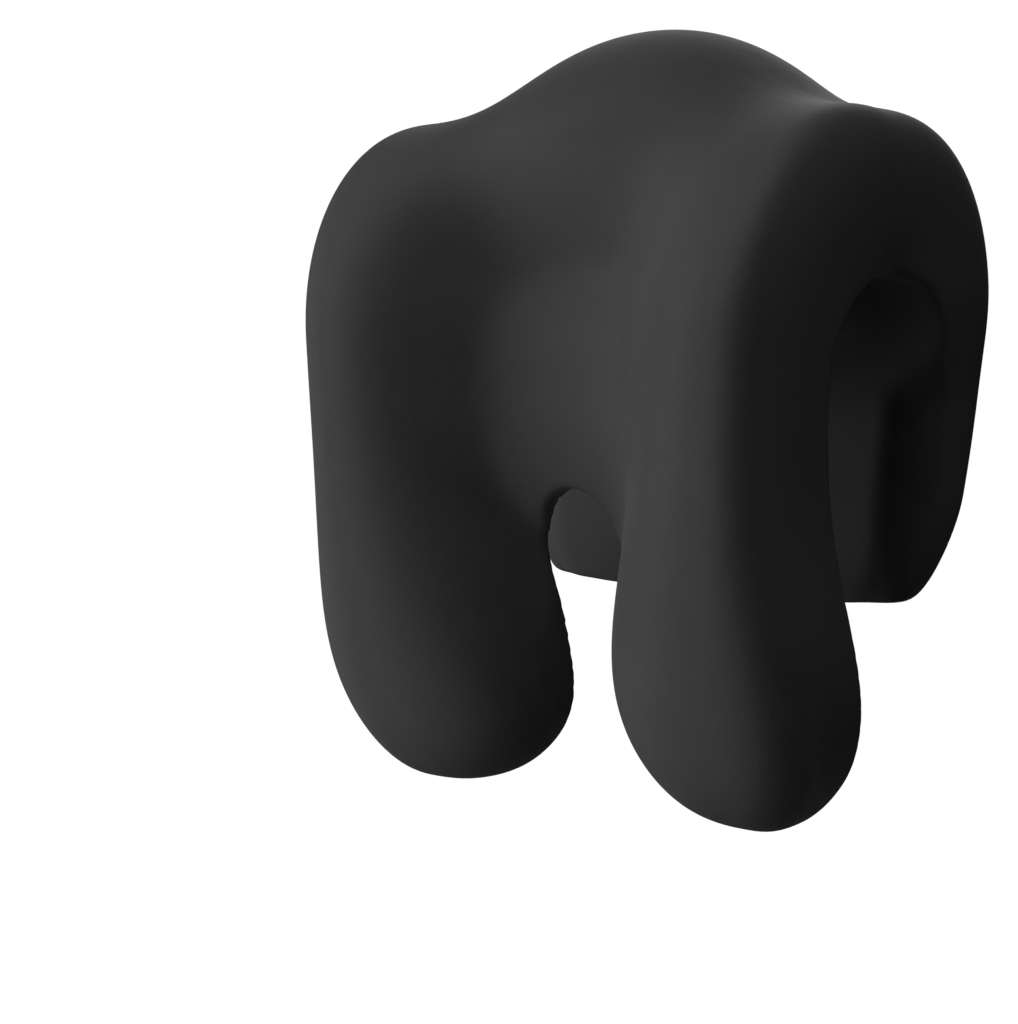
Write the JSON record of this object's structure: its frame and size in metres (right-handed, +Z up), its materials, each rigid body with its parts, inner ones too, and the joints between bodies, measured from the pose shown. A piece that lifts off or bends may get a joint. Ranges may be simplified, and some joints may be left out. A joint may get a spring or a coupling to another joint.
{
  "type": "chair headrest attachment",
  "caption": "Soft foam saddle that hooks over the top edge of a chair back, with two padded front legs, a central hump and a springy rear flap.",
  "frame": {"origin": "middle of the flat land at the top of the slot, where the chair back's top edge bears", "axes": "+Z up, -Y towards the sitter's head, +X to the right as seen from the front"},
  "size_m": [0.158, 0.1381, 0.2105],
  "materials": {
    "foam_skin": "matte self-skinned foam",
    "spring_steel": "satin",
    "cap_rubber": "matte"
  },
  "bodies": {
    "saddle": {"foam_saddle": "foam_skin", "foam_flex_band": "foam_skin", "spring_strip_left": "spring_steel", "spring_strip_right": "spring_steel", "bridge_plate": "spring_steel", "rivet_bridge_left_inner": "spring_steel", "rivet_bridge_left_outer": "spring_steel", "rivet_bridge_right_inner": "spring_steel", "rivet_bridge_right_outer": "spring_steel", "end_cap_front_left": "cap_rubber", "end_cap_front_right": "cap_rubber"},
    "rear_flap": {"foam_rear_flap": "foam_skin", "rear_plate": "spring_steel", "rivet_rear_left_inner": "spring_steel", "rivet_rear_left_outer": "spring_steel", "rivet_rear_right_inner": "spring_steel", "rivet_rear_right_outer": "spring_steel", "end_cap_rear_left": "cap_rubber", "end_cap_rear_right": "cap_rubber"}
  },
  "joints": [
    {"name": "flap_flex", "type": "hinge", "parent": "saddle", "child": "rear_flap", "pos_m": [0, 0.0398, -0.03378], "axis": [1, 0, 0], "range_deg": [-18, 12], "stiffness_Nm_per_rad": 5.7, "deforming": ["foam_flex_band", "spring_strip_left", "spring_strip_right"]}
  ]
}
